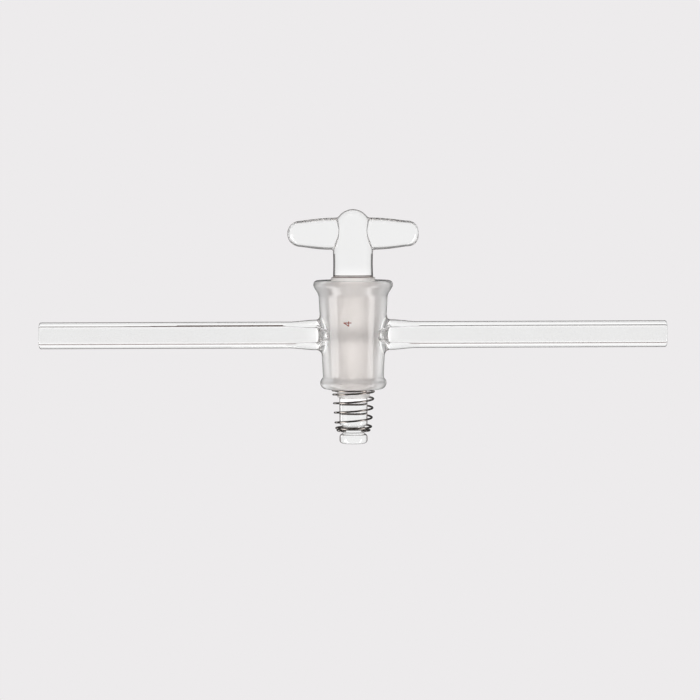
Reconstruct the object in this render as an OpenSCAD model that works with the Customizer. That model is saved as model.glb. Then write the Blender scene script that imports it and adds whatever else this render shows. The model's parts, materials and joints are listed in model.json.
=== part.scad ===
// Two-way glass stopcock with a ground taper plug, held down by a spring.
// The arms lie along X and the plug along Y, with its handle at +Y. The origin is where the two axes cross.

/* [Barrel] */
// Height of the barrel above the arms' axis
barrel_above = 19.5; // [17:0.5:26]
// Depth of the barrel below the arms' axis
barrel_below = 19.4; // [17:0.5:26]
// Radius of the ground bore at the arms' axis
bore_r = 6.9; // [6:0.1:9]
// Length over which the ground taper grows by one in diameter
taper = 10; // [8:0.5:20]
// Thickness of the barrel's wall
barrel_wall = 4.7; // [3.5:0.1:6]
// How far the top collar stands out from the barrel's wall
collar_proud = 1.6; // [1:0.1:4]
// Roundness of the top collar's rim
collar_round = 1.6; // [0.8:0.1:1.8]
// Slope of the top collar's underside, from the vertical
collar_flare = 30; // [20:1:45]
// How far the bottom bead stands out from the barrel's wall
bead_proud = 1.2; // [0.5:0.1:3]
// Roundness of the bottom bead
bead_round = 2.2; // [1.2:0.1:2.4]
// Bevel at each mouth of the ground bore
mouth_bevel = 0.4; // [0.1:0.1:0.8]

/* [Arms] */
// Distance from the plug's axis to each arm's end
arm_reach = 112; // [60:1:160]
// Outside diameter of each arm
arm_od = 9.5; // [8.5:0.1:10.5]
// Inside diameter of each arm
arm_id = 6.2; // [5.2:0.1:6.6]
// Rounding of the fire-polished ends
arm_end_round = 0.6; // [0.2:0.05:0.7]
// Radius of each arm where it meets its weld
root_r = 5.4; // [5:0.1:6]
// Radius of the narrowed bore at the weld
root_bore_r = 2.7; // [2.3:0.1:3]
// Distance from the plug's axis at which an arm starts to thicken
root_start = 23; // [18:0.5:30]
// Length of the weld outside the barrel's wall
weld_length = 1.8; // [1.2:0.1:2.4]
// Radius of the weld's hollow curve
weld_round = 5.9; // [5:0.1:7]
// Length over which the hole in the barrel's wall widens to the narrowed bore
shoulder_length = 2.3; // [1:0.1:4]

/* [Plug] */
// Diameter of the cross bore, and of the holes in the barrel's wall
flow_d = 4; // [2:0.5:5]
// Clearance between the ground surfaces, on the radius
ground_gap = 0.03; // [0.02:0.01:0.08]
// How far the ground surface stands above the barrel
ground_proud = 1; // [0.5:0.1:3]
// How far the ground surface reaches below the barrel
ground_tail = 2.95; // [1:0.05:5]
// Step in from the ground surface to the neck
neck_inset = 0.4; // [0:0.1:1]
// Length of the neck, from the ground surface to the handle
neck_length = 10.3; // [6:0.1:15]
// Length over which the stem narrows from the neck to its dome
stem_length = 7.8; // [6:0.1:12]
// Radius of the stem's domed top
dome_r = 6.2; // [5:0.1:7]
// Height of the handle's axis above the neck
handle_rise = 5.3; // [5:0.1:8]
// Half of the handle's span
handle_reach = 23.4; // [18:0.1:30]
// Radius of each lobe of the handle, at the stem
lobe_root_r = 5.7; // [5:0.1:6.2]
// Radius of each lobe of the handle, near its end
lobe_end_r = 4.6; // [3.5:0.1:5]
// Thickness of the lobes, as a share of their height
lobe_flat = 0.72; // [0.6:0.01:1]
// Step in from the ground surface to the tail
tail_inset = 0.75; // [0:0.05:1.5]
// Distance from the barrel's underside to the groove
tail_length = 12.8; // [11:0.1:20]
// Width of the clip's groove
groove_w = 3.2; // [2:0.1:5]
// Depth of the clip's groove
groove_depth = 1.1; // [0.8:0.1:2]
// Length of the foot below the groove
foot_length = 3.5; // [2:0.1:6]
// Rounding of the foot
foot_round = 1; // [0.3:0.1:1.4]

/* [Spring and clip] */
// Diameter of the spring's wire
spring_wire = 0.7; // [0.5:0.05:0.9]
// Clearance from the ground surface to the inside of the spring's first turn
spring_clear = 1.35; // [0.5:0.05:2]
// Clearance from the tail to the inside of the spring's last turn
spring_end_clear = 0.65; // [0.3:0.05:1]
// Number of open turns between the closed end turns
spring_turns = 4; // [3:1:5]
// Diameter of the clip's wire
clip_wire = 0.8; // [0.6:0.05:1]
// How far the clip's side arcs lie inside the spring's last turn, wire middle to wire middle
clip_inset = 0.3; // [0:0.05:0.5]
// How far down its groove the clip sits, as a share of its play
clip_drop = 0.67; // [0:0.01:1]
// Angle from the front to each end of the side arcs
clip_open = 52; // [45:1:70]
// Angle by which each end of the clip turns in towards the front
clip_tip = 12; // [5:1:20]
// Gap left between the spring or clip and what it presses on
seat_gap = 0.05; // [0.02:0.01:0.2]

/* [Hidden] */
$fn = 96;

glass = [0.9, 0.93, 0.94, 0.5];
ground_glass = [0.86, 0.85, 0.84, 0.8];
steel = [0.62, 0.62, 0.63];
dark_steel = [0.45, 0.44, 0.44];
overrun = 1;

slope = 1 / (2 * taper);
arm_r = arm_od / 2;
arm_bore_r = arm_id / 2;
flow_r = flow_d / 2;
top_mouth_r = bore_r + slope * barrel_above;
end_mouth_r = bore_r - slope * barrel_below;
body_r = bore_r + barrel_wall;
body_top_r = top_mouth_r + barrel_wall;
body_end_r = end_mouth_r + barrel_wall;
collar_r = body_top_r + collar_proud;
bead_r = body_end_r + bead_proud;
weld_end = body_r + weld_length;
ground_r = bore_r - ground_gap;
ground_top = barrel_above + ground_proud;
ground_end = -barrel_below - ground_tail;
ground_top_r = ground_r + slope * ground_top;
ground_end_r = ground_r + slope * ground_end;
neck_r = ground_top_r - neck_inset;
neck_top = ground_top + neck_length;
dome_y = neck_top + stem_length;
handle_y = neck_top + handle_rise;
tail_r = ground_end_r - tail_inset;
groove_r = tail_r - groove_depth;
groove_top = -barrel_below - tail_length;
groove_end = groove_top - groove_w;
foot_end = groove_end - foot_length;
spring_top = -barrel_below - seat_gap - spring_wire / 2;
clip_y = groove_top - clip_wire / 2 - clip_drop * (groove_w - clip_wire);
spring_end = clip_y + clip_wire / 2 + seat_gap + spring_wire / 2;
spring_top_r = end_mouth_r - ground_gap + spring_clear + spring_wire / 2;
spring_end_r = tail_r + spring_end_clear + spring_wire / 2;
clip_r = spring_end_r - clip_inset;
wire_sides = 10;
steps_per_turn = 40;
clip_steps = 12;
grip_r = groove_r + seat_gap + clip_wire / 2;

// Radius of the ground bore at a height y
function bore_at(y) = bore_r + slope * y;

// Turns a shape made around Z so that it lies around Y
module about_y() {
    rotate([-90, 0, 0]) children();
}

// Turns a shape made around Z so that it lies around X
module about_x() {
    rotate([0, 90, 0]) children();
}

// Right half of the barrel's section: radius across, height up
module barrel_section() {
    rim = [collar_r - collar_round, barrel_above - collar_round];
    touch = rim + collar_round * [cos(collar_flare), -sin(collar_flare)];
    foot_h = (touch[0] - bore_r) / tan(collar_flare);
    difference() {
        union() {
            polygon([
                [0, -barrel_below],
                [bead_r - bead_round, -barrel_below],
                [bead_r - bead_round, -barrel_below + bead_round],
                [body_end_r, -barrel_below + bead_round],
                [body_top_r, rim[1]],
                [rim[0], rim[1]],
                [rim[0], barrel_above],
                [0, barrel_above]
            ]);
            polygon([rim, touch, [bore_r, touch[1] - foot_h], [bore_r, rim[1]]]);
            translate(rim) circle(r = collar_round);
            translate([bead_r - bead_round, -barrel_below + bead_round]) circle(r = bead_round);
        }
        translate([-collar_r, -barrel_below - overrun]) {
            square([collar_r, barrel_above + barrel_below + 2 * overrun]);
        }
    }
}

// Section of an arm's outside: distance from the plug's axis up, radius across
module arm_section() {
    difference() {
        union() {
            square([arm_r, arm_reach - arm_end_round]);
            square([arm_r - arm_end_round, arm_reach]);
            translate([arm_r - arm_end_round, arm_reach - arm_end_round]) circle(r = arm_end_round);
            polygon([[0, 0], [root_r, 0], [root_r, weld_end], [arm_r, root_start], [0, root_start]]);
            square([root_r + weld_round, weld_end]);
        }
        translate([root_r + weld_round, weld_end]) circle(r = weld_round);
        translate([root_r + weld_round / 2, 0]) square([weld_round, weld_end]);
        square([flow_r, arm_reach]);
    }
}

// Section of an arm's bore, narrowing to the hole in the barrel's wall
module arm_bore_section() {
    polygon([
        [0, 0],
        [flow_r, 0],
        [flow_r, weld_end - shoulder_length],
        [root_bore_r, weld_end],
        [arm_bore_r, root_start],
        [arm_bore_r, arm_reach + overrun],
        [0, arm_reach + overrun]
    ]);
}

// The glass body: ground barrel, both collars and both arms fused into one piece
module barrel() {
    color(glass) difference() {
        union() {
            about_y() rotate_extrude() barrel_section();
            for (side = [0, 180]) rotate([0, 0, side]) about_x() rotate_extrude() arm_section();
        }
        about_y() translate([0, 0, -barrel_below - overrun]) {
            cylinder(
                h = barrel_below + barrel_above + 2 * overrun,
                r1 = bore_at(-barrel_below - overrun),
                r2 = bore_at(barrel_above + overrun)
            );
        }
        about_y() translate([0, 0, barrel_above - mouth_bevel]) {
            cylinder(h = 2 * mouth_bevel, r1 = top_mouth_r, r2 = top_mouth_r + 2 * mouth_bevel);
        }
        about_y() translate([0, 0, -barrel_below - mouth_bevel]) {
            cylinder(h = 2 * mouth_bevel, r1 = end_mouth_r + 2 * mouth_bevel, r2 = end_mouth_r);
        }
        for (side = [0, 180]) rotate([0, 0, side]) about_x() rotate_extrude() arm_bore_section();
    }
}

// Right half of the plug's section: radius across, height up
module plug_section() {
    polygon([
        [0, foot_end],
        [tail_r - foot_round, foot_end],
        [tail_r - foot_round, foot_end + foot_round],
        [tail_r, foot_end + foot_round],
        [tail_r, groove_end],
        [groove_r, groove_end],
        [groove_r, groove_top],
        [tail_r, groove_top],
        [tail_r, ground_end],
        [ground_end_r, ground_end],
        [ground_top_r, ground_top],
        [neck_r, ground_top],
        [neck_r, neck_top],
        [dome_r, dome_y],
        [0, dome_y]
    ]);
    intersection() {
        translate([tail_r - foot_round, foot_end + foot_round]) circle(r = foot_round);
        translate([0, foot_end]) square([tail_r, 2 * foot_round]);
    }
    intersection() {
        translate([0, dome_y]) circle(r = dome_r);
        translate([0, dome_y - overrun]) square([dome_r, dome_r + 2 * overrun]);
    }
}

// Half of the handle's section: radius across, distance from the plug's axis up
module lobe_section() {
    cone_length = handle_reach - lobe_end_r;
    polygon([[0, 0], [lobe_root_r, 0], [lobe_end_r, cone_length], [0, cone_length]]);
    intersection() {
        translate([0, cone_length]) circle(r = lobe_end_r);
        square([lobe_end_r, handle_reach]);
    }
}

// The solid glass plug with its T-handle, cross bore, tail and clip groove
module plug() {
    color(ground_glass) difference() {
        union() {
            about_y() rotate_extrude() plug_section();
            translate([0, handle_y, 0]) scale([1, 1, lobe_flat]) {
                for (side = [0, 180]) rotate([0, 0, side]) about_x() rotate_extrude() lobe_section();
            }
        }
        about_x() cylinder(h = 2 * body_r, r = flow_r, center = true);
    }
}

// The spring's height at a turn: one closed turn, the open turns, one closed turn
function spring_height(turn) =
    let (
        open_pitch = (spring_top - spring_end - 2 * spring_wire) / spring_turns,
        first = min(turn, 1),
        open = min(max(turn - 1, 0), spring_turns),
        last = max(turn - 1 - spring_turns, 0)
    )
    spring_top - (first + last) * spring_wire - open * open_pitch;

// The spring's radius at a turn, measured at the middle of its wire
function spring_radius(turn) =
    spring_top_r + (spring_end_r - spring_top_r) * turn / (spring_turns + 2);

// One ring of points around the wire at a turn; the wire runs clockwise as seen from the handle
function spring_ring(turn) =
    let (a = 360 * turn, r = spring_radius(turn), y = spring_height(turn))
    [for (i = [0:wire_sides - 1])
        let (
            b = 360 * i / wire_sides,
            out = r + spring_wire / 2 * cos(b)
        )
        [out * cos(a), y + spring_wire / 2 * sin(b), out * sin(a)]
    ];

// The closed skin of a wire, from the rings of points along it
module wire_skin(points) {
    rings = len(points) / wire_sides - 1;
    sides = [for (k = [0:rings - 1], i = [0:wire_sides - 1])
        let (j = (i + 1) % wire_sides, a = k * wire_sides, b = a + wire_sides)
        [a + i, a + j, b + j, b + i]
    ];
    first_cap = [for (i = [wire_sides - 1:-1:0]) i];
    last_cap = [for (i = [0:wire_sides - 1]) rings * wire_sides + i];
    polyhedron(points, concat(sides, [first_cap, last_cap]), convexity = 10);
}

// The conical steel spring between the barrel and the clip
module spring() {
    rings = steps_per_turn * (spring_turns + 2);
    color(dark_steel) wire_skin([for (k = [0:rings]) each spring_ring(k / steps_per_turn)]);
}

// A point (x, z) of the clip's plane, at a radius and an angle from the front
function around(r, a) = r * [sin(a), cos(a)];

// The clip's route: a turned-in end, a side arc, the straight back, the other arc and end
function clip_route() =
    let (
        back_angle = acos(grip_r / clip_r),
        tip_angle = clip_open - clip_tip,
        arc_step = (180 - back_angle - clip_open) / clip_steps,
        side = [for (i = [0:clip_steps]) around(clip_r, clip_open + i * arc_step)],
        half = concat([around(grip_r, tip_angle)], side),
        count = len(half)
    )
    concat(half, [for (i = [1:count]) [-half[count - i][0], half[count - i][1]]]);

// Direction across the clip's route at one of its points
function across(route, i) =
    let (
        run = route[min(i + 1, len(route) - 1)] - route[max(i - 1, 0)],
        unit = run / norm(run)
    )
    [unit[1], -unit[0]];

// The wire clip: a straight back and two side arcs, with ends turned in to grip the groove
module retaining_clip() {
    route = clip_route();
    points = [for (k = [0:len(route) - 1])
        let (out = across(route, k))
        for (i = [0:wire_sides - 1])
            let (b = 360 * i / wire_sides, d = clip_wire / 2 * cos(b))
            [route[k][0] + d * out[0], clip_y + clip_wire / 2 * sin(b), route[k][1] + d * out[1]]
    ];
    color(steel) wire_skin(points);
}

barrel();
plug();
spring();
retaining_clip();
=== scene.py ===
"""Looks of the glass stopcock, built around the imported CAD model.

Lengths are in millimetres, and MM turns them into metres where Blender takes them. The arms lie along X, the
plug lies along Y with its handle at +Y, and +Z points up from the table.

Each piece of glass is one closed skin. Windows are left open in its turned surface, and rings of points join
each window to the arm, the half of the handle or the cross bore that leaves it.
"""

import json
import math

import bmesh
import bpy
import numpy as np
from mathutils import Matrix, Vector


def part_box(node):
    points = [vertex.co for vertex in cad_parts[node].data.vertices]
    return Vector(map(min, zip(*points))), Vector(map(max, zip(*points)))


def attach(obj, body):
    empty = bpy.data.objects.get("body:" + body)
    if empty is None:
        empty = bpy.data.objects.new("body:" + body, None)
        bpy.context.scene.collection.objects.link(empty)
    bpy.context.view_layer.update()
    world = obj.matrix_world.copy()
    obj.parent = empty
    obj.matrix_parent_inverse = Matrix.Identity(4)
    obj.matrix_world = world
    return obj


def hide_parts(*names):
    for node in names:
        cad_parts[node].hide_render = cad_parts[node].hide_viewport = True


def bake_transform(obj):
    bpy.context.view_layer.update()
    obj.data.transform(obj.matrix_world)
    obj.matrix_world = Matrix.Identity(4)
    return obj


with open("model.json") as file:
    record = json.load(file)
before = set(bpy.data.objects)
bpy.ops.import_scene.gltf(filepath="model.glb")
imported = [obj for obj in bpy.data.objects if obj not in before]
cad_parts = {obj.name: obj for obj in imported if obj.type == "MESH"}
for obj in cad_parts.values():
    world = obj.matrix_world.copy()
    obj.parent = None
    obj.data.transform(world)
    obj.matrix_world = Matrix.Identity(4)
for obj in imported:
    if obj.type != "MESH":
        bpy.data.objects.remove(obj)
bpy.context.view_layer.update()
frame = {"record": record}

MM = 0.001


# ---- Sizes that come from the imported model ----

def node_box(node):
    """Lowest and highest corner of a CAD node, in millimetres."""
    low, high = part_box(node)
    return np.array(low) / MM, np.array(high) / MM


barrel_low, barrel_high = node_box("barrel")
plug_low, plug_high = node_box("plug")
spring_low, spring_high = node_box("spring")
clip_low, clip_high = node_box("retaining_clip")
mounts = {m["name"]: m["dims"]["r_mm"] for m in frame["record"]["mounts"]}

arm_reach = barrel_high[0]
barrel_top = barrel_high[1]
barrel_end = barrel_low[1]
collar_r = barrel_high[2]
handle_reach = plug_high[0]
ground_top_r = plug_high[2]
dome_top = plug_high[1]
foot_end = plug_low[1]
flow_r = mounts["flow_bore"]
arm_r = mounts["left_arm"]
arm_bore_r = mounts["left_port"]
clip_y = (clip_low[1] + clip_high[1]) / 2
clip_wire_r = (clip_high[1] - clip_low[1]) / 2
clip_r = clip_high[0] - clip_wire_r

# ---- Sizes of the barrel's shape ----
slope = 0.05                        # what the taper's radius gains with each millimetre up
bore_r = 6.9                        # radius of the bore at the arms' axis
barrel_wall = 4.7
mouth_bevel = 0.4                   # rounding at the bore's two mouths
collar_round = 1.6
collar_squareness = 2.3             # power of the collar's rim: 2 is round, more is squarer
collar_flare = math.radians(30)
flare_blend = 0.9                   # reach of the soft corner below the flare, up and down
flare_clear = 1.2                   # how far below the flare the plain skin starts
bead_r = 11.83
bead_round = 2.2
bead_joint = -14.8                  # height at which the skin leaves its taper for the bead
bead_corner = -15.25                # height of the corner that this curve rounds
bead_joint_angle = 42               # where the curve lands on the bead
top_flat = (1.2, 1.5)               # rings on the flat top, from the bore and from the collar's rounding
end_flat = (0.8, 1)                 # rings on the lower end, from its lip and from the bead's rounding
root_r = 5.4
root_bore_r = 2.7
root_start = 23
weld_end = 13.4
shoulder_length = 2.3
saddle_r = 7.6
arm_end_round = 0.6
inner_wobble = 0.05                 # unevenness of an arm's root, inside and outside
outer_wobble = 0.04
wobble_phase = {1: 1.0, -1: 2.7}    # for the arm on each side

# ---- Sizes of the plug's shape ----
ground_gap = 0.03
ground_top = 20.5
ground_end = -22.35
ground_edge = 0.25                  # rounding of the ground surface's lower edge
top_edge = (0.005, 0.2, 0.15)       # its upper edge: taper, height and depth of the rounding
neck_r = 7.12
neck_waist = 0.1
neck_fillet = 0.5
neck_top = 30.8
dome_r = 6.2
dome_y = dome_top - dome_r
handle_y = 36.1
lobe_root_r = 5.7
lobe_end_r = 4.6
lobe_flat = 0.72                    # the handle's thickness as a share of its height
lobe_squareness = {1: 2.5, -1: 2.0}
crease = 0.9
tail_r = 5
tail_corner = 0.5                   # reach of the tail's soft corners
tail_step = 0.3                     # the fillet under the ground surface
groove_top = -32.2
groove_end = -35.4
groove_r = 3.9
groove_fillet = 0.9
foot_round = 1.2
foot_lip = 0.15
tail_plain = (1.2, 0.6)             # where the plain tail starts and stops, from the groove and the taper
ground_plain = (1, 0.3)             # the same for the ground surface, from its two edges
neck_plain = 1                      # the same for the neck, from the ground surface
foot_flat = (0.6, 0.8)              # rings on the flat foot: its inner radius, and from the outer edge

# ---- Sizes that the barrel and the plug share ----
hole_rim = 0.12                     # width and depth of the rim around each hole for the flow
hole_depth = 0.15
window_bore = 5.0                   # half the height of the windows around the cross bore
window_body = 10.5                  # half the height of the windows around the arms
window_lobe = (29.0, 43.2)          # lower and upper end of the windows around the handle's halves

# ---- Sizes of the wires ----
spring_wire_r = 0.35
spring_top_r = spring_high[0] - spring_wire_r
spring_end_r = 6.1
spring_first = 0.15
spring_last = 5.87
spring_pitch_turns = (0.4, 1.6, 4.6, 5.5)
spring_pitches = (0, 3.15, 3.75, 0)
grip_r = 4.35
clip_front = 52                     # where the clip's side arcs end, in degrees from +Z
clip_turn_in = 12
wire_end_angles = (25, 50, 75)
wire_end_length = 0.5               # length of a wire's rounded end, in wire radii

# ---- Sizes of the bore mark ----
mark_centre = (-2.15, 4.4)
mark_height = 2.6
mark_width = 1.55
mark_stroke = 0.34
mark_depth = 0.04
mark_step = 0.004                   # each stroke stands this much higher than the one before it
mark_overrun = 0.6                  # what a stroke is longer than its line, as a share of its width
mark_strokes = [((0.72, 0.0), (0.72, 1.0)), ((0.72, 1.0), (0.0, 0.33)), ((0.0, 0.33), (1.0, 0.33))]
mark_section = ((-0.5, -0.02), (-0.42, 0.7), (-0.2, 1), (0.2, 1), (0.42, 0.7), (0.5, -0.02), (0, -0.02))

# ---- Fineness of the meshes ----
columns_round = 256
barrel_rows = 40
barrel_half = 37
bore_rows = 48
bore_half = 36
lobe_rows = 56
lobe_half = 40
wire_sides = 16
spring_steps = 72


# ---- Outlines: lists of (radius, height) points ----

def arc(centre, radii, start, end, steps, power=2.0):
    """Points on part of an ellipse between two angles in degrees; a power above 2 makes it squarer."""
    angles = np.radians(np.linspace(start, end, steps + 1))
    c, s = np.cos(angles), np.sin(angles)
    across = np.sign(c) * np.abs(c) ** (2 / power)
    up = np.sign(s) * np.abs(s) ** (2 / power)
    return [(centre[0] + radii[0] * a, centre[1] + radii[1] * u) for a, u in zip(across, up)]


def curve(t, start, corner, end):
    """The place at t, 0 to 1, on a smooth curve that leaves start and reaches end along a corner's sides."""
    return (1 - t) ** 2 * start + 2 * t * (1 - t) * corner + t * t * end


def bend(start, corner, end, steps):
    """Points on such a curve."""
    p, q, r = (np.array(v, float) for v in (start, corner, end))
    return [tuple(curve(t, p, q, r)) for t in np.linspace(0, 1, steps + 1)]


def rounded(corner, before, after, steps):
    """Points round a corner, from one offset from it to another."""
    start = (corner[0] + before[0], corner[1] + before[1])
    end = (corner[0] + after[0], corner[1] + after[1])
    return bend(start, corner, end, steps)


def run(radius_at, start, end, steps):
    """Points up or down a wall whose radius depends on the height; the last one is left out."""
    return [(radius_at(y), y) for y in np.linspace(start, end, steps + 1)[:-1]]


def rows_of(outline, piece):
    """Adds a stretch to an outline and returns the number of its first row."""
    start = len(outline)
    outline.extend(piece)
    return start


def fractions(steps):
    """Even steps from 0 to 1, without 0."""
    return np.linspace(0, 1, steps + 1)[1:]


def between(start, end, steps):
    """Even steps from start to end, without the two ends."""
    return np.linspace(start, end, steps + 1)[1:-1]


def smooth(t):
    """Eases from 0 to 1 at both ends."""
    t = np.clip(t, 0, 1)
    return t * t * (3 - 2 * t)


def ease_in(t):
    """Nearly a straight line from 0 to 1, easing in at the start."""
    return t * t * (3 - t) / 2


def bore_at(y):
    """Radius of the barrel's bore."""
    return bore_r + slope * y


def body_at(y):
    """Radius of the barrel's outside."""
    return bore_at(y) + barrel_wall


def plug_ground_at(y):
    """Radius of the plug's ground surface."""
    return bore_at(y) - ground_gap


# ---- Building meshes from rings of points ----

class Skin:
    """Collects the points and faces of one closed piece."""

    def __init__(self):
        self.points = []
        self.faces = []
        self.finishes = []

    def add(self, points):
        """Adds points and returns their numbers."""
        start = len(self.points)
        self.points.extend(tuple(float(c) for c in p) for p in points)
        return list(range(start, len(self.points)))

    def coords(self, numbers):
        """The places of the points with these numbers."""
        return np.array([self.points[i] for i in numbers])

    def band(self, a, b, finish, skip=()):
        """Faces between two rings, but for the columns to skip."""
        count = len(a)
        for i in range(count):
            if i not in skip:
                j = (i + 1) % count
                self.faces.append((a[i], a[j], b[j], b[i]))
                self.finishes.append(finish)

    def cap(self, ring, point, finish):
        """Closes a ring with a fan of faces around a new point."""
        tip = self.add([point])[0]
        count = len(ring)
        for i in range(count):
            self.faces.append((ring[i], ring[(i + 1) % count], tip))
            self.finishes.append(finish)

    def bridge(self, first, middle, last, finish_at):
        """Joins two loops that exist by new rings between them. finish_at(k) is the finish of band k."""
        loops = [first] + [self.add(points) for points in middle] + [last]
        for k, (a, b) in enumerate(zip(loops, loops[1:])):
            self.band(a, b, finish_at(k))

    def to_object(self, name, materials):
        """Makes the Blender object, with all its faces turned outward."""
        mesh = bpy.data.meshes.new(name)
        mesh.from_pydata([Vector(p) * MM for p in self.points], [], self.faces)
        for material in materials:
            mesh.materials.append(material)
        mesh.polygons.foreach_set("material_index", self.finishes)
        mesh.polygons.foreach_set("use_smooth", [True] * len(self.faces))
        edit = bmesh.new()
        edit.from_mesh(mesh)
        bmesh.ops.recalc_face_normals(edit, faces=edit.faces)
        edit.to_mesh(mesh)
        edit.free()
        piece = bpy.data.objects.new(name, mesh)
        bpy.context.scene.collection.objects.link(piece)
        return piece


class Window:
    """A rectangle left open on both sides of a turned surface, around the X axis.

    It runs from one row of the outline to another, and reaches a number of columns to each side of the axis.
    """

    def __init__(self, first, last, half):
        self.first, self.last, self.half = first, last, half

    def columns(self, row, count):
        """The columns that a row leaves open."""
        low, high = sorted((self.first, self.last))
        if not low <= row < high:
            return set()
        span = range(-self.half, self.half)
        return {c % count for c in span} | {(c + count // 2) % count for c in span}

    def loop(self, rings, side):
        """The rectangle's edge as point numbers, on the +X side (1) or the -X side (-1)."""
        half, first, last = self.half, self.first, self.last
        step = 1 if last > first else -1
        path = [(first, c) for c in range(-half, half)]
        path += [(row, half) for row in range(first, last, step)]
        path += [(last, c) for c in range(half, -half, -1)]
        path += [(row, -half) for row in range(last, first, -step)]
        count = len(rings[0])
        return [rings[row][(c if side > 0 else count // 2 - c) % count] for row, c in path]


def turned(skin, outline, finish_at, windows, closed):
    """Adds a surface of revolution around Y, with its windows left open, and returns its rings."""
    angles = 2 * math.pi * np.arange(columns_round) / columns_round
    c, s = np.cos(angles), np.sin(angles)
    rings = [skin.add(np.stack([r * c, np.full(columns_round, y), r * s], 1)) for r, y in outline]
    after = rings[1:] + rings[:1] if closed else rings[1:]
    for row, (a, b) in enumerate(zip(rings, after)):
        skip = set().union(*(w.columns(row, columns_round) for w in windows))
        skin.band(a, b, finish_at(row), skip)
    return rings


def on_surface(radius_at, y, z):
    """Distance from the plug's axis along X of a turned surface, at a height and a depth."""
    return np.sqrt(np.maximum(radius_at(y) ** 2 - z ** 2, 0))


def ring(x, y, z, side):
    """A ring of points on the +X side (1) or the -X side (-1)."""
    x = np.broadcast_to(x, np.shape(y))
    return np.stack([side * x, y, z], 1)


def ring_on(radius_at, y, z, side):
    """A ring that lies on a turned surface."""
    return ring(on_surface(radius_at, y, z), y, z, side)


def patch(edge, target, radius_at, steps, side):
    """Rings on a turned surface between a window's edge and a target outline (y, z), both left out."""
    rings = []
    for t in np.arange(1, steps + 1) / (steps + 1):
        y = edge[:, 1] + (target[0] - edge[:, 1]) * t
        z = edge[:, 2] + (target[1] - edge[:, 2]) * t
        rings.append(ring_on(radius_at, y, z, side))
    return rings


def hole_rings(edge, angle, radius_at, side):
    """Rings on a turned surface from a window's edge to the rim of the cross bore's hole."""
    y = (flow_r + hole_rim) * np.cos(angle)
    z = (flow_r + hole_rim) * np.sin(angle)
    return patch(edge, (y, z), radius_at, 5, side) + [ring_on(radius_at, y, z, side)]


# Finishes of the barrel (the first three) and of the plug (CLEAR, GROUND, NECK and EDGE)
CLEAR, GROUND, MILKY = 0, 1, 2
NECK, EDGE = 2, 3


# ---- The barrel ----

def barrel_outline():
    """The barrel's section as a closed loop that starts in its bore.

    Also returns the rows at which the bore's window, the body's window, the upper mouth and the lower lip
    start.
    """
    rim = (collar_r - collar_round, barrel_top - collar_round)
    touch = (rim[0] + collar_round * math.cos(collar_flare), rim[1] - collar_round * math.sin(collar_flare))
    flare = math.tan(collar_flare)
    foot_y = touch[1] - (touch[0] - body_at(touch[1])) / (flare - slope)
    foot = (body_at(foot_y), foot_y)
    above_foot = (foot[0] + flare_blend * flare, foot_y + flare_blend)
    below_foot = (body_at(foot_y - flare_blend), foot_y - flare_blend)
    bead = (bead_r - bead_round, barrel_end + bead_round)
    bead_arc = arc(bead, (bead_round, bead_round), bead_joint_angle, -90, 22)
    mouth = bore_at(barrel_top)
    lip = bore_at(barrel_end)
    outline = []
    rows_of(outline, run(bore_at, barrel_end + mouth_bevel, -window_bore, 8))
    bore_row = rows_of(outline, run(bore_at, -window_bore, window_bore, barrel_rows))
    rows_of(outline, run(bore_at, window_bore, barrel_top - mouth_bevel, 8))
    mouth_row = rows_of(outline, rounded((mouth, barrel_top), (0, -mouth_bevel), (mouth_bevel, 0), 4))
    rows_of(outline, [(mouth + top_flat[0], barrel_top), (rim[0] - top_flat[1], barrel_top)])
    rows_of(outline, arc(rim, (collar_round, collar_round), 90, -30, 20, collar_squareness))
    rows_of(outline, bend(above_foot, foot, below_foot, 8))
    rows_of(outline, run(body_at, foot_y - flare_clear, window_body, 4))
    body_row = rows_of(outline, run(body_at, window_body, -window_body, barrel_rows))
    rows_of(outline, run(body_at, -window_body, bead_joint, 5))
    joint = (body_at(bead_joint), bead_joint)
    rows_of(outline, bend(joint, (body_at(bead_corner), bead_corner), bead_arc[0], 6)[:-1])
    rows_of(outline, bead_arc)
    rows_of(outline, [(bead[0] - end_flat[1], barrel_end), (lip + mouth_bevel + end_flat[0], barrel_end)])
    lip_row = rows_of(outline, rounded((lip, barrel_end), (mouth_bevel, 0), (0, mouth_bevel), 4)[:-1])
    return outline, bore_row, body_row, mouth_row, lip_row


def wobble(angle, size, phase):
    """Small unevenness of hand-worked glass around a ring."""
    waves = np.sin(2 * angle + phase) + 0.6 * np.sin(3 * angle + 2.1 * phase)
    return size * (waves + 0.3 * np.sin(7 * angle + phase))


def arm_ring(angle, x, r, side, uneven=0.0):
    """A ring around the arms' axis, as uneven as asked."""
    r = r + wobble(angle, uneven, wobble_phase[side])
    return ring(x, r * np.cos(angle), r * np.sin(angle), side)


def arm_inside(angle, side):
    """Rings out along an arm's inside: the hole through the wall, a shoulder, the root and the tube."""
    hole_x = on_surface(bore_at, flow_r * np.cos(angle), flow_r * np.sin(angle)) + hole_depth
    rings = []
    for t in np.linspace(0, 1, 6):
        x = hole_x * (1 - t) + (weld_end - shoulder_length) * t
        rings.append(arm_ring(angle, x, flow_r, side))
    for t in fractions(10):
        x = weld_end - shoulder_length * (1 - t)
        r = flow_r + (root_bore_r - flow_r) * math.sqrt(1 - (1 - t) ** 2)
        rings.append(arm_ring(angle, x, r, side, inner_wobble * t))
    for t in fractions(12):
        x = weld_end + (root_start - weld_end) * t
        r = root_bore_r + (arm_bore_r - root_bore_r) * smooth(t)
        rings.append(arm_ring(angle, x, r, side, inner_wobble * (1 - t)))
    for x in between(root_start, arm_reach - arm_end_round, 8):
        rings.append(arm_ring(angle, x, arm_bore_r, side))
    return rings


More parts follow.
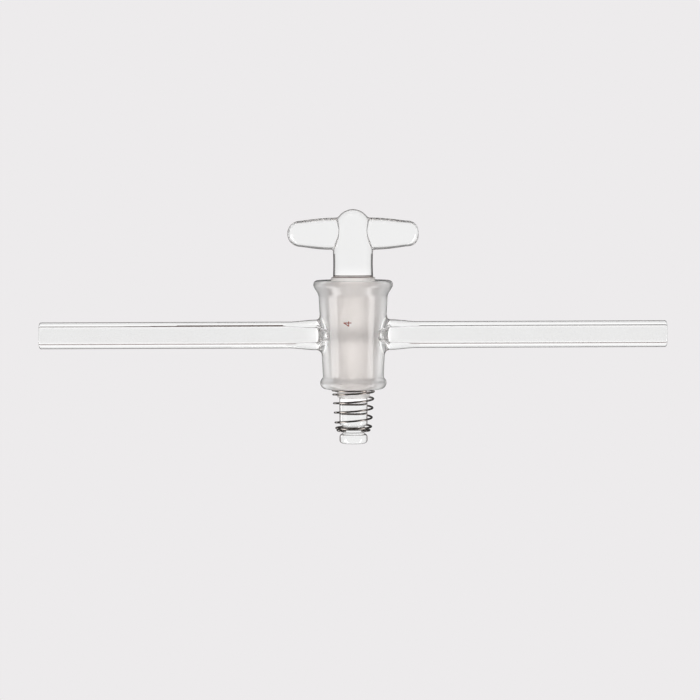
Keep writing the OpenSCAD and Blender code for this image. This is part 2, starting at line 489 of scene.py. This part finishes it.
def arm_end(angle, side):
    """Rings round an arm's fire-polished end, from its inside to its outside."""
    radii = (arm_end_round, arm_end_round)
    end_x = arm_reach - arm_end_round
    section = arc((arm_bore_r + arm_end_round, end_x), radii, 180, 90, 7)
    section += arc((arm_r - arm_end_round, end_x), radii, 90, 0, 7)
    return [arm_ring(angle, x, r, side) for r, x in section]


def arm_outside(angle, side):
    """Rings back along an arm's outside, as far as its root."""
    rings = []
    for x in between(arm_reach - arm_end_round, root_start, 8):
        rings.append(arm_ring(angle, x, arm_r, side))
    for t in np.linspace(0, 1, 15):
        x = root_start + (weld_end - root_start) * t
        r = arm_r + (root_r - arm_r) * smooth(t)
        rings.append(arm_ring(angle, x, r, side, outer_wobble * t))
    return rings


def arm_fillet(angle, side):
    """Rings of the fillet from an arm's root out onto the barrel's skin, which it meets smoothly."""
    cy, cz = np.cos(angle), np.sin(angle)
    step = 0.05
    foot_x = on_surface(body_at, saddle_r * cy, saddle_r * cz)
    back_x = on_surface(body_at, (saddle_r - step) * cy, (saddle_r - step) * cz)
    corner_x = foot_x + (back_x - foot_x) / step * (saddle_r - root_r)
    rings = []
    for t in fractions(12):
        x = curve(t, weld_end, corner_x, foot_x)
        r = curve(t, root_r, root_r, saddle_r)
        rings.append(arm_ring(angle, x, r, side, outer_wobble * (1 - t)))
    return rings


def arm(skin, inner, outer, side):
    """One arm, between the edge of the bore's window and the edge of the body's window."""
    outer_edge = skin.coords(outer)
    angle = np.arctan2(outer_edge[:, 2], outer_edge[:, 1])
    hole = hole_rings(skin.coords(inner), angle, bore_at, side)
    tube = arm_inside(angle, side) + arm_end(angle, side) + arm_outside(angle, side) + arm_fillet(angle, side)
    saddle = (saddle_r * np.cos(angle), saddle_r * np.sin(angle))
    skirt = patch(outer_edge, saddle, body_at, 5, side)[::-1]
    ground_bands = len(hole)
    clear_bands = ground_bands + len(tube)

    def finish_at(band):
        if band < ground_bands:
            return GROUND
        return CLEAR if band < clear_bands else MILKY

    skin.bridge(inner, hole + tube + skirt, outer, finish_at)


def barrel():
    """The barrel with its collar, its bead, its bore and both arms."""
    skin = Skin()
    outline, bore_row, body_row, mouth_row, lip_row = barrel_outline()
    bore_window = Window(bore_row + barrel_rows, bore_row, barrel_half)
    body_window = Window(body_row, body_row + barrel_rows, barrel_half)
    ground_rows = set(range(mouth_row + 3)) | set(range(lip_row, len(outline)))

    def finish_at(row):
        return GROUND if row in ground_rows else MILKY

    rings = turned(skin, outline, finish_at, [bore_window, body_window], closed=True)
    for side in (1, -1):
        arm(skin, bore_window.loop(rings, side), body_window.loop(rings, side), side)
    return skin


# ---- The plug ----

def stem_at(y):
    """Radius of the stem above the ground surface: a neck, a taper and a dome."""
    y = np.asarray(y, float)
    along_neck = np.clip((y - ground_top) / (neck_top - ground_top), 0, 1)
    neck = neck_r - neck_waist * np.sin(np.pi * along_neck) ** 2
    taper_start = neck_top - 1.5
    taper = neck + (dome_r - neck) * smooth((y - taper_start) / (dome_y - taper_start))
    dome = np.sqrt(np.maximum(dome_r ** 2 - np.maximum(y - dome_y, 0) ** 2, 0))
    return np.where(y > dome_y, dome, taper)


def tail_outline():
    """The plug's section below its ground surface: the foot, the groove and the tail."""
    radii = (foot_round, foot_round)
    outline = [(foot_flat[0], foot_end), (tail_r - foot_round - foot_flat[1], foot_end)]
    outline += arc((tail_r - foot_round, foot_end + foot_round), radii, -90, 0, 8)
    outline += arc((tail_r - foot_round, groove_end - foot_round), radii, 0, 75, 7)
    outline += rounded((groove_r, groove_end), (foot_lip, 0), (0, tail_corner), 3)
    outline += [(groove_r, (groove_top + groove_end) / 2)]
    outline += rounded((groove_r, groove_top), (0, -groove_fillet), (tail_corner, 0), 5)
    outline += rounded((tail_r, groove_top), (-tail_corner, 0), (0, tail_corner), 5)
    outline += run(lambda y: tail_r, groove_top + tail_plain[0], ground_end - tail_plain[1], 6)
    outline += rounded((tail_r, ground_end), (0, -tail_corner), (tail_step, 0), 4)
    return outline


def plug_outline():
    """The plug's section from the foot up.

    Also returns the rows at which the ground surface, its upper edge, the bore's window and the handle's
    window start.
    """
    ground_end_r = plug_ground_at(ground_end)
    above_edge = (plug_ground_at(ground_end + ground_edge), ground_end + ground_edge)
    below_top = (ground_top_r - top_edge[0], ground_top - top_edge[1])
    neck_foot = stem_at(ground_top)
    outline = tail_outline()
    edge = bend((ground_end_r - ground_edge, ground_end), (ground_end_r, ground_end), above_edge, 3)
    ground_row = rows_of(outline, edge)
    rows_of(outline, run(plug_ground_at, ground_end + ground_plain[0], -window_bore, 8))
    bore_row = rows_of(outline, run(plug_ground_at, -window_bore, window_bore, bore_rows))
    rows_of(outline, run(plug_ground_at, window_bore, ground_top - ground_plain[1], 8))
    edge = bend(below_top, (ground_top_r, ground_top), (ground_top_r - top_edge[2], ground_top), 3)
    top_row = rows_of(outline, edge)
    rows_of(outline, rounded((neck_foot, ground_top), (neck_fillet, 0), (0, neck_fillet), 4))
    rows_of(outline, run(stem_at, ground_top + neck_plain, window_lobe[0], 8))
    lobe_row = rows_of(outline, run(stem_at, window_lobe[0], window_lobe[1], lobe_rows))
    last_angle = math.degrees(math.asin((window_lobe[1] - dome_y) / dome_r))
    rows_of(outline, arc((0, dome_y), (dome_r, dome_r), last_angle, 87, 9))
    return outline, ground_row, top_row, bore_row, lobe_row


def plug():
    """The plug with its cross bore, its handle, its tail and its foot."""
    skin = Skin()
    outline, ground_row, top_row, bore_row, lobe_row = plug_outline()
    bore_window = Window(bore_row + bore_rows, bore_row, bore_half)
    lobe_window = Window(lobe_row + lobe_rows, lobe_row, lobe_half)
    neck_row = top_row + 4

    def finish_at(row):
        if ground_row <= row < neck_row:
            return GROUND
        # The four bands of the fillet at the neck's foot get painted shade, a dark line
        if neck_row <= row < neck_row + 4:
            return EDGE
        return NECK if neck_row < row < lobe_row else CLEAR

    rings = turned(skin, outline, finish_at, [bore_window, lobe_window], closed=False)
    skin.cap(rings[0], (0, foot_end, 0), CLEAR)
    skin.cap(rings[-1], (0, dome_top, 0), CLEAR)
    cross_bore(skin, bore_window, rings)
    for side in (1, -1):
        lobe(skin, lobe_window, rings, side)
    return skin


def cross_bore(skin, window, rings):
    """The bore through the plug, from its hole on the +X side to the one on the -X side."""
    start, end = window.loop(rings, 1), window.loop(rings, -1)
    edge = skin.coords(start)
    angle = np.arctan2(edge[:, 2], edge[:, 1])
    y, z = flow_r * np.cos(angle), flow_r * np.sin(angle)
    hole_x = on_surface(plug_ground_at, y, z) - hole_depth
    near = hole_rings(edge, angle, plug_ground_at, 1)
    far = [points * (-1, 1, 1) for points in near[::-1]]
    tube = [ring(hole_x * t, y, z, 1) for t in np.linspace(1, -1, 9)]
    ground_bands = len(near)
    last_clear = ground_bands + len(tube)

    def finish_at(band):
        return CLEAR if ground_bands <= band <= last_clear else GROUND

    skin.bridge(start, near + tube + far, end, finish_at)


def lobe(skin, window, rings, side):
    """One half of the T-handle: a flattened cone with a rounded end and a small fillet at the stem."""
    start = window.loop(rings, side)
    edge = skin.coords(start)
    angle = np.arctan2(edge[:, 2], edge[:, 1] - handle_y)
    cy, cz = np.cos(angle), np.sin(angle)
    foot_y = handle_y + (lobe_root_r + crease) * cy
    foot_z = (lobe_root_r * lobe_flat + crease) * cz
    root_y = handle_y + lobe_root_r * cy
    root_z = lobe_root_r * lobe_flat * cz
    corner_x = on_surface(stem_at, root_y, root_z)
    foot = ring_on(stem_at, foot_y, foot_z, side)
    corner = ring(corner_x, root_y, root_z, side)
    out = ring(corner_x + crease, root_y, root_z, side)
    middle = patch(edge, (foot_y, foot_z), stem_at, 6, side)
    middle += [curve(t, foot, corner, out) for t in np.linspace(0, 1, 9)]
    end_x = handle_reach - lobe_end_r
    cone = []
    for t in fractions(12):
        r = lobe_root_r + (lobe_end_r - lobe_root_r) * ease_in(t)
        cone.append((r, (corner_x + crease) * (1 - t) + end_x * t))
    cone += arc((0, end_x), (lobe_end_r, lobe_end_r), 0, 84, 12, lobe_squareness[side])[1:]
    middle += [ring(x, handle_y + r * cy, r * lobe_flat * cz, side) for r, x in cone]
    loops = [start] + [skin.add(points) for points in middle]
    for a, b in zip(loops, loops[1:]):
        skin.band(a, b, CLEAR)
    skin.cap(loops[-1], (side * handle_reach, handle_y, 0), CLEAR)


# ---- Wires ----

def unit(vector):
    """The vector at length 1."""
    return vector / np.linalg.norm(vector)


def rings_along(tangents):
    """Unit rings square to a path, as offsets from each of its points. They don't twist."""
    around = 2 * math.pi * np.arange(wire_sides) / wire_sides
    normal = unit(np.cross(tangents[0], (0, 1, 0)))
    rings = []
    for tangent in tangents:
        normal = unit(normal - tangent * np.dot(normal, tangent))
        side = np.cross(tangent, normal)
        rings.append(np.outer(np.cos(around), normal) + np.outer(np.sin(around), side))
    return rings


def wire_end(point, outward, offsets, radius):
    """Rings of a wire's rounded end, from its last full ring to near its tip."""
    rings = []
    for a in np.radians(wire_end_angles):
        centre = point + outward * radius * wire_end_length * math.sin(a)
        rings.append(centre + offsets * radius * math.cos(a))
    return rings


def sweep(path, radius):
    """A round wire along a path of points, with rounded ends."""
    path = np.asarray(path, float)
    tangents = np.gradient(path, axis=0)
    tangents /= np.linalg.norm(tangents, axis=1)[:, None]
    offsets = rings_along(tangents)
    rings = wire_end(path[0], -tangents[0], offsets[0], radius)[::-1]
    rings += [point + o * radius for point, o in zip(path, offsets)]
    rings += wire_end(path[-1], tangents[-1], offsets[-1], radius)
    skin = Skin()
    loops = [skin.add(points) for points in rings]
    for a, b in zip(loops, loops[1:]):
        skin.band(a, b, CLEAR)
    skin.cap(loops[0], path[0] - tangents[0] * radius * wire_end_length, CLEAR)
    skin.cap(loops[-1], path[-1] + tangents[-1] * radius * wire_end_length, CLEAR)
    return skin


def spring():
    """The conical coil, right-handed: its pitch grows from a flat end turn and ends at nothing."""
    top = spring_high[1] - spring_wire_r
    end = spring_low[1] + spring_wire_r
    turns = np.arange(spring_first, spring_last, 1 / spring_steps)
    drop = np.cumsum(np.interp(turns, spring_pitch_turns, spring_pitches))
    y = top - (top - end) * drop / drop[-1]
    r = spring_top_r + (spring_end_r - spring_top_r) * turns / spring_last
    a = 2 * math.pi * turns
    return sweep(np.stack([r * np.cos(a), y, r * np.sin(a)], 1), spring_wire_r)


def retaining_clip():
    """The clip's wire: a turned-in end, a side arc, the straight back, the other arc and end."""
    back = math.degrees(math.acos(grip_r / clip_r))
    tip = math.radians(clip_front - clip_turn_in)
    arc_angles = np.radians(np.linspace(clip_front, 180 - back, 30))
    half = [(grip_r * math.sin(tip), grip_r * math.cos(tip))]
    half += [(clip_r * math.sin(a), clip_r * math.cos(a)) for a in arc_angles]
    corners = half + [(-x, z) for x, z in half[::-1]]
    return sweep(round_path(np.array([(x, clip_y, z) for x, z in corners]), 3), clip_wire_r)


def round_path(points, passes):
    """Cuts the corners of an open path again and again, which rounds them."""
    for _ in range(passes):
        a, b = points[:-1], points[1:]
        cut = np.empty((2 * len(a), 3))
        cut[0::2] = a * 0.75 + b * 0.25
        cut[1::2] = a * 0.25 + b * 0.75
        points = np.vstack([points[:1], cut, points[-1:]])
    return points


# ---- The bore mark: a plain figure for the 4 mm bore, in fired enamel ----

def bore_mark():
    """A plain numeral 4, with its top towards -X, as strokes that follow the barrel's skin."""
    skin = Skin()
    for k, (a, b) in enumerate(mark_strokes):
        stroke(skin, on_barrel(*a), on_barrel(*b), mark_depth + mark_step * k)
    return skin


def on_barrel(across, up):
    """From the figure's own width and height, 0 to 1, to the barrel's X and Y."""
    return np.array((mark_centre[0] - (up - 0.5) * mark_height, mark_centre[1] + (across - 0.5) * mark_width))


def stroke(skin, start, end, height):
    """One stroke between two places on the barrel, as a low ridge with soft edges."""
    along = (end - start) / np.linalg.norm(end - start)
    across = np.array([-along[1], along[0]])
    rings = []
    for t in np.linspace(0, 1, 9):
        centre = start + (end - start) * t + along * (t - 0.5) * mark_stroke * mark_overrun
        loop = []
        for aside, lift in mark_section:
            x, y = centre + across * aside * mark_stroke
            loop.append((x, y, math.sqrt((body_at(y) + lift * height) ** 2 - x * x)))
        rings.append(skin.add(loop))
    for a, b in zip(rings, rings[1:]):
        skin.band(a, b, CLEAR)
    for end_ring in (rings[0], rings[-1]):
        skin.cap(end_ring, skin.coords(end_ring).mean(0), CLEAR)


# ---- Materials ----

glass_ior = 1.473
skin_ior = 1.42                     # lower, which makes the milky skin lighter at its sides


def new_material(name):
    """A new material, with its nodes, its links and its shader."""
    material = bpy.data.materials.new(name)
    material.use_nodes = True
    nodes = material.node_tree.nodes
    return material, nodes, material.node_tree.links, nodes["Principled BSDF"]


def new_glass(name, ior=glass_ior):
    """The same for glass."""
    material, nodes, links, shader = new_material(name)
    shader.inputs["Transmission Weight"].default_value = 1
    shader.inputs["IOR"].default_value = ior
    return material, nodes, links, shader


def noise_bump(nodes, links, shader, scale, strength, distance, detail=2.0):
    """Fine unevenness of a surface, from noise fixed in the piece."""
    place = nodes.new("ShaderNodeTexCoord")
    noise = nodes.new("ShaderNodeTexNoise")
    noise.inputs["Scale"].default_value = scale
    noise.inputs["Detail"].default_value = detail
    bump = nodes.new("ShaderNodeBump")
    bump.inputs["Strength"].default_value = strength
    bump.inputs["Distance"].default_value = distance
    links.new(place.outputs["Object"], noise.inputs["Vector"])
    links.new(noise.outputs["Fac"], bump.inputs["Height"])
    links.new(bump.outputs["Normal"], shader.inputs["Normal"])
    return noise


def tinted(nodes, links, noise, socket, low, high):
    """Drives a colour or a number between two values by the noise."""
    ramp = nodes.new("ShaderNodeValToRGB")
    ramp.color_ramp.elements[0].position = 0.3
    ramp.color_ramp.elements[1].position = 0.7
    ramp.color_ramp.elements[0].color = (*low, 1)
    ramp.color_ramp.elements[1].color = (*high, 1)
    links.new(noise.outputs["Fac"], ramp.inputs["Fac"])
    links.new(ramp.outputs["Color"], socket)


def edge_shade(nodes, links, socket, start, full, colour):
    """Paints shade into what reaches a colour socket: multiplies it by a darker colour that sets in at
    grazing angles, which draws dark outlines at a glass's edges.
    """
    weight = nodes.new("ShaderNodeLayerWeight")
    ramp = nodes.new("ShaderNodeValToRGB")
    ramp.color_ramp.interpolation = "EASE"
    ramp.color_ramp.elements[0].position = start
    ramp.color_ramp.elements[1].position = full
    ramp.color_ramp.elements[0].color = (1, 1, 1, 1)
    ramp.color_ramp.elements[1].color = (*colour, 1)
    mix = nodes.new("ShaderNodeMix")
    mix.data_type = "RGBA"
    mix.blend_type = "MULTIPLY"
    mix.inputs["Factor"].default_value = 1
    inner = socket.links[0].from_socket
    links.new(weight.outputs["Facing"], ramp.inputs["Fac"])
    links.new(inner, mix.inputs["A"])
    links.new(ramp.outputs["Color"], mix.inputs["B"])
    links.new(mix.outputs["Result"], socket)


def clear_glass(name, start, full, colour):
    """Clear borosilicate glass with the faint waviness of drawn tube, and painted shade that darkens its
    edges at grazing angles.
    """
    material, nodes, links, shader = new_glass(name)
    shader.inputs["Roughness"].default_value = 0.0
    noise = noise_bump(nodes, links, shader, scale=90, strength=0.004, distance=0.0006)
    tinted(nodes, links, noise, shader.inputs["Base Color"], (0.992, 0.99, 0.988), (1.0, 1.0, 1.0))
    # Painted shade: the base colour darkens towards the given colour at grazing angles
    edge_shade(nodes, links, shader.inputs["Base Color"], start, full, colour)
    return material


def milky_glass(name):
    """The barrel's fire-polished outside: a bright coat over glass that the ground bore makes look milky,
    with painted shade at its edges.
    """
    material, nodes, links, shader = new_glass(name, skin_ior)
    shader.inputs["Coat Weight"].default_value = 1
    shader.inputs["Coat Roughness"].default_value = 0.02
    noise = noise_bump(nodes, links, shader, scale=300, strength=0.03, distance=0.0004)
    tinted(nodes, links, noise, shader.inputs["Base Color"], (0.975, 0.965, 0.955), (0.99, 0.982, 0.978))
    tinted(nodes, links, noise, shader.inputs["Roughness"], (0.36,) * 3, (0.42,) * 3)
    # Painted shade: the base colour turns greyer at grazing angles, which draws the barrel's outline
    edge_shade(nodes, links, shader.inputs["Base Color"], start=0.75, full=0.95, colour=(0.8, 0.78, 0.77))
    return material


def dark_edge(name):
    """The narrow rough edge where the grinding of the taper stops, drawn as a dark line by painted shade: a
    near-black tint in the glass.
    """
    material, nodes, links, shader = new_glass(name)
    noise = noise_bump(nodes, links, shader, scale=2500, strength=0.2, distance=0.00005, detail=3.0)
    # Painted shade: the near-black tint that makes this edge a dark line
    tinted(nodes, links, noise, shader.inputs["Base Color"], (0.05, 0.04, 0.035), (0.12, 0.09, 0.08))
    tinted(nodes, links, noise, shader.inputs["Roughness"], (0.3,) * 3, (0.5,) * 3)
    return material


def ground_glass(name):
    """Ground glass: the same glass with a fine grey-white grind."""
    material, nodes, links, shader = new_glass(name)
    noise = noise_bump(nodes, links, shader, scale=2500, strength=0.25, distance=0.00005, detail=4.0)
    tinted(nodes, links, noise, shader.inputs["Base Color"], (0.95, 0.925, 0.91), (0.99, 0.972, 0.962))
    tinted(nodes, links, noise, shader.inputs["Roughness"], (0.69,) * 3, (0.81,) * 3)
    return material


def bright_wire(name, colour):
    """Drawn steel wire: bright, with fine streaks and a few duller spots."""
    material, nodes, links, shader = new_material(name)
    shader.inputs["Metallic"].default_value = 1
    noise = noise_bump(nodes, links, shader, scale=1800, strength=0.15, distance=0.00002, detail=3.0)
    tinted(nodes, links, noise, shader.inputs["Base Color"], tuple(c * 0.85 for c in colour), colour)
    tinted(nodes, links, noise, shader.inputs["Roughness"], (0.05,) * 3, (0.11,) * 3)
    return material


def enamel(name):
    """Brownish red fired enamel, a little uneven in thickness."""
    material, nodes, links, shader = new_material(name)
    shader.inputs["Roughness"].default_value = 0.35
    noise = noise_bump(nodes, links, shader, scale=3000, strength=0.3, distance=0.00003, detail=3.0)
    tinted(nodes, links, noise, shader.inputs["Base Color"], (0.36, 0.07, 0.05), (0.55, 0.16, 0.12))
    return material


# ---- The pieces ----

# Each clear glass gets painted shade at its edges, from the start to the full facing; the neck's is darkest
barrel_clear = clear_glass("drawn_tube_glass", start=0.6, full=0.76, colour=(0.12, 0.11, 0.105))
neck_clear = clear_glass("solid_neck_glass", start=0.5, full=0.66, colour=(0.03, 0.025, 0.025))
# Painted shade at the neck's foot: a near-black line
neck_painted_shade = dark_edge("ground_shoulder_painted_shade")
plug_clear = clear_glass("solid_plug_glass", start=0.58, full=0.76, colour=(0.2, 0.18, 0.175))
barrel_milky = milky_glass("barrel_skin")
barrel_ground = ground_glass("ground_bore")
plug_ground = ground_glass("ground_taper")

barrel_piece = barrel().to_object("barrel_body", [barrel_clear, barrel_ground, barrel_milky])
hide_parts("barrel")
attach(barrel_piece, "barrel")

plug_piece = plug().to_object("plug_body", [plug_clear, plug_ground, neck_clear, neck_painted_shade])
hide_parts("plug")
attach(plug_piece, "plug")

spring_piece = spring().to_object("spring_coil", [bright_wire("spring_wire", (0.34, 0.31, 0.29))])
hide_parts("spring")
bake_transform(spring_piece)

clip_piece = retaining_clip().to_object("clip_wire", [bright_wire("clip_steel_wire", (0.42, 0.4, 0.38))])
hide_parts("retaining_clip")
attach(clip_piece, "plug")

mark_piece = bore_mark().to_object("bore_mark", [enamel("red_enamel")])
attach(mark_piece, "barrel")


# ---- Floor, light and camera ----

# The table: what the eye sees, and how bright it is for the glass and in mirrors
floor_level = barrel_low[2]
floor_size = 20000
backdrop = (0.8469, 0.8308, 0.8388)
floor_glow = 0.92
pool_glow = 1.42
pool_reach = (16, 25)
gloss_glow = 0.1
left_glow = 2.6
left_side = ((-45, -21), (-34, -25))

# Lighter and darker areas of the table for the glass: ((x range, y range), glow)
flag_end = arm_reach + 10
left_arm = (-flag_end, -24)
right_arm = (24, flag_end)
under_spring = (1.3, 1.3, 1.3)
pale = (1.07, 1.07, 1.07)
brown = (0.05, 0.009, 0.005)
flags = [
    (((-12, 12), (-25, -18)), under_spring),
    ((left_arm, (10, 20)), pale),
    ((right_arm, (10, 20)), pale),
    ((left_arm, (-26, -10)), pale),
    ((right_arm, (-26, -10)), pale),
    ((left_arm, (23, 34)), (0.33, 0.3, 0.29)),
    ((right_arm, (23, 34)), (0.2, 0.19, 0.19)),
    (((-flag_end, -14), (-45, -28)), (0.36, 0.29, 0.28)),
    (((14, flag_end), (-45, -28)), (0.36, 0.3, 0.29)),
    (((-84, -74), (25, 34)), brown),
    (((-74, -64), (20.5, 34)), brown),
    (((-64, -25), (16.5, 34)), brown),
]

# The surroundings: pale walls up to a height, a dark opening above and a soft box to each side
wall_top = (0.45, 0.6)
wall_light = 0.25
dark_light = 0.04
tent_light = 0.3
tent_tint = (1.0, 0.985, 0.975)
box_light = 4.2
left_box = (56, 93)                 # degrees from straight up
right_box = (54, 78)
box_start = (0.07, 0.1)             # how far towards -Y the boxes start and stop
box_stop = (0.9, 0.95)

camera_at = (-0.010, 0.050, 1.0)
camera_turn = (-0.506, -3.174, -0.184)
camera_lens = 144.1


def math_node(nodes, links, operation, a, b=None):
    """The result of a maths node; each value is a socket or a plain number."""
    node = nodes.new("ShaderNodeMath")
    node.operation = operation
    for socket, value in zip(node.inputs, (a, b)):
        if value is None:
            continue
        if isinstance(value, (int, float)):
            socket.default_value = value
        else:
            links.new(value, socket)
    return node.outputs[0]


def colour_mix(nodes, links, factor, a, b):
    """A colour between two others; each one is a socket or a plain (r, g, b)."""
    node = nodes.new("ShaderNodeMix")
    node.data_type = "RGBA"
    links.new(factor, node.inputs["Factor"])
    for socket, value in ((node.inputs["A"], a), (node.inputs["B"], b)):
        if isinstance(value, tuple):
            socket.default_value = (*value, 1)
        else:
            links.new(value, socket)
    return node.outputs["Result"]


def inside(nodes, links, place, area):
    """1 where x and y lie inside the area ((x low, x high), (y low, y high)) in millimetres, else 0."""
    masks = []
    for value, (low, high) in zip(place, area):
        off = math_node(nodes, links, "SUBTRACT", value, (low + high) / 2 * MM)
        off = math_node(nodes, links, "ABSOLUTE", off)
        masks.append(math_node(nodes, links, "LESS_THAN", off, (high - low) / 2 * MM))
    return math_node(nodes, links, "MULTIPLY", *masks)


def pool_colour(nodes, links, place):
    """The glow of the table away from its flags: a bright pool under the barrel that fades outward."""
    squares = []
    for value, reach in zip(place, pool_reach):
        part = math_node(nodes, links, "DIVIDE", value, reach * MM)
        squares.append(math_node(nodes, links, "MULTIPLY", part, part))
    fade = nodes.new("ShaderNodeMapRange")
    fade.interpolation_type = "SMOOTHSTEP"
    links.new(math_node(nodes, links, "ADD", *squares), fade.inputs["Value"])
    return colour_mix(nodes, links, fade.outputs["Result"], (pool_glow,) * 3, (floor_glow,) * 3)


def table_material():
    """A table that shines evenly to the eye.

    Through the glass it has a bright pool under the barrel, and lighter and darker areas that draw the lines
    of the glass. In mirrors it is dark, but for a bright stretch to the left of the spring.
    """
    material = bpy.data.materials.new("white_table")
    material.use_nodes = True
    nodes, links = material.node_tree.nodes, material.node_tree.links
    nodes.clear()
    out = nodes.new("ShaderNodeOutputMaterial")
    geometry = nodes.new("ShaderNodeNewGeometry")
    split = nodes.new("ShaderNodeSeparateXYZ")
    links.new(geometry.outputs["Position"], split.inputs[0])
    place = split.outputs[:2]
    colour = pool_colour(nodes, links, place)
    for area, glow in flags:
        colour = colour_mix(nodes, links, inside(nodes, links, place, area), colour, glow)
    left = inside(nodes, links, place, left_side)
    mirrored = colour_mix(nodes, links, left, (gloss_glow,) * 3, (left_glow,) * 3)
    path = nodes.new("ShaderNodeLightPath")
    colour = colour_mix(nodes, links, path.outputs["Is Reflection Ray"], colour, mirrored)
    colour = colour_mix(nodes, links, path.outputs["Is Camera Ray"], colour, backdrop)
    shine = nodes.new("ShaderNodeEmission")
    links.new(colour, shine.inputs["Color"])
    links.new(shine.outputs[0], out.inputs["Surface"])
    return material


def table():
    """The pale table that the stopcock lies on, a level square that belongs to the studio."""
    half = floor_size / 2
    mesh = bpy.data.meshes.new("table")
    corners = [(-half, -half), (half, -half), (half, half), (-half, half)]
    mesh.from_pydata([Vector((x, y, floor_level)) * MM for x, y in corners], [], [(0, 1, 2, 3)])
    mesh.materials.append(table_material())
    sheet = bpy.data.objects.new("table", mesh)
    bpy.context.scene.collection.objects.link(sheet)


def mirrored_light(nodes, links):
    """The brightness that is mirrored from each direction: walls, the dark opening and the two soft boxes."""
    place = nodes.new("ShaderNodeTexCoord")
    split = nodes.new("ShaderNodeSeparateXYZ")
    links.new(place.outputs["Generated"], split.inputs[0])
    x, y, z = split.outputs

    def step(value, low, high):
        node = nodes.new("ShaderNodeMapRange")
        node.interpolation_type = "SMOOTHSTEP"
        links.new(value, node.inputs["Value"])
        node.inputs["From Min"].default_value = low
        node.inputs["From Max"].default_value = high
        return node.outputs["Result"]

    def combine(operation, a, b):
        return math_node(nodes, links, operation, a, b)

    walls = combine("SUBTRACT", 1.0, step(z, *wall_top))
    walls = combine("MULTIPLY", walls, wall_light)
    down = combine("MULTIPLY", y, -1.0)
    reach = combine("MULTIPLY", step(down, *box_start), combine("SUBTRACT", 1.0, step(down, *box_stop)))
    edge = math.radians(1)

    def box(angle, span):
        near, far = (math.radians(a) for a in span)
        on = step(angle, near - 2 * edge, near + 2 * edge)
        off = combine("SUBTRACT", 1.0, step(angle, far - edge, far + edge))
        return combine("MULTIPLY", combine("MULTIPLY", combine("MULTIPLY", on, off), reach), box_light)

    left = box(combine("ARCTAN2", combine("MULTIPLY", x, -1.0), z), left_box)
    right = box(combine("ARCTAN2", x, z), right_box)
    return combine("ADD", combine("ADD", walls, dark_light), combine("ADD", left, right))


def studio():
    """The surroundings: the backdrop to the eye, walls and soft boxes in mirrors, else an even light."""
    world = bpy.data.worlds.new("studio")
    bpy.context.scene.world = world
    world.use_nodes = True
    nodes, links = world.node_tree.nodes, world.node_tree.links
    nodes.clear()
    path = nodes.new("ShaderNodeLightPath")
    light = nodes.new("ShaderNodeMix")
    links.new(path.outputs["Is Reflection Ray"], light.inputs["Factor"])
    light.inputs["A"].default_value = tent_light
    links.new(mirrored_light(nodes, links), light.inputs["B"])
    sky = nodes.new("ShaderNodeBackground")
    sky.inputs["Color"].default_value = (*tent_tint, 1)
    links.new(light.outputs["Result"], sky.inputs["Strength"])
    seen = nodes.new("ShaderNodeBackground")
    seen.inputs["Color"].default_value = (*backdrop, 1)
    mix = nodes.new("ShaderNodeMixShader")
    links.new(path.outputs["Is Camera Ray"], mix.inputs[0])
    links.new(sky.outputs[0], mix.inputs[1])
    links.new(seen.outputs[0], mix.inputs[2])
    out = nodes.new("ShaderNodeOutputWorld")
    links.new(mix.outputs[0], out.inputs["Surface"])


def camera():
    """Looks down at the stopcock from 1 m, from a little towards the handle and the left arm."""
    yaw, pitch, roll = (math.radians(a) for a in camera_turn)
    turn = Matrix.Rotation(yaw, 4, "Y") @ Matrix.Rotation(pitch, 4, "X") @ Matrix.Rotation(roll, 4, "Z")
    data = bpy.data.cameras.new("camera")
    data.lens = camera_lens
    data.sensor_width = 36
    view = bpy.data.objects.new("camera", data)
    view.matrix_world = Matrix.Translation(Vector(camera_at)) @ turn
    bpy.context.scene.collection.objects.link(view)
    bpy.context.scene.camera = view


table()
studio()
camera()
bpy.context.scene.view_settings.view_transform = "Standard"
bpy.context.scene.cycles.max_bounces = 32
bpy.context.scene.cycles.transmission_bounces = 32
bpy.context.scene.cycles.glossy_bounces = 16
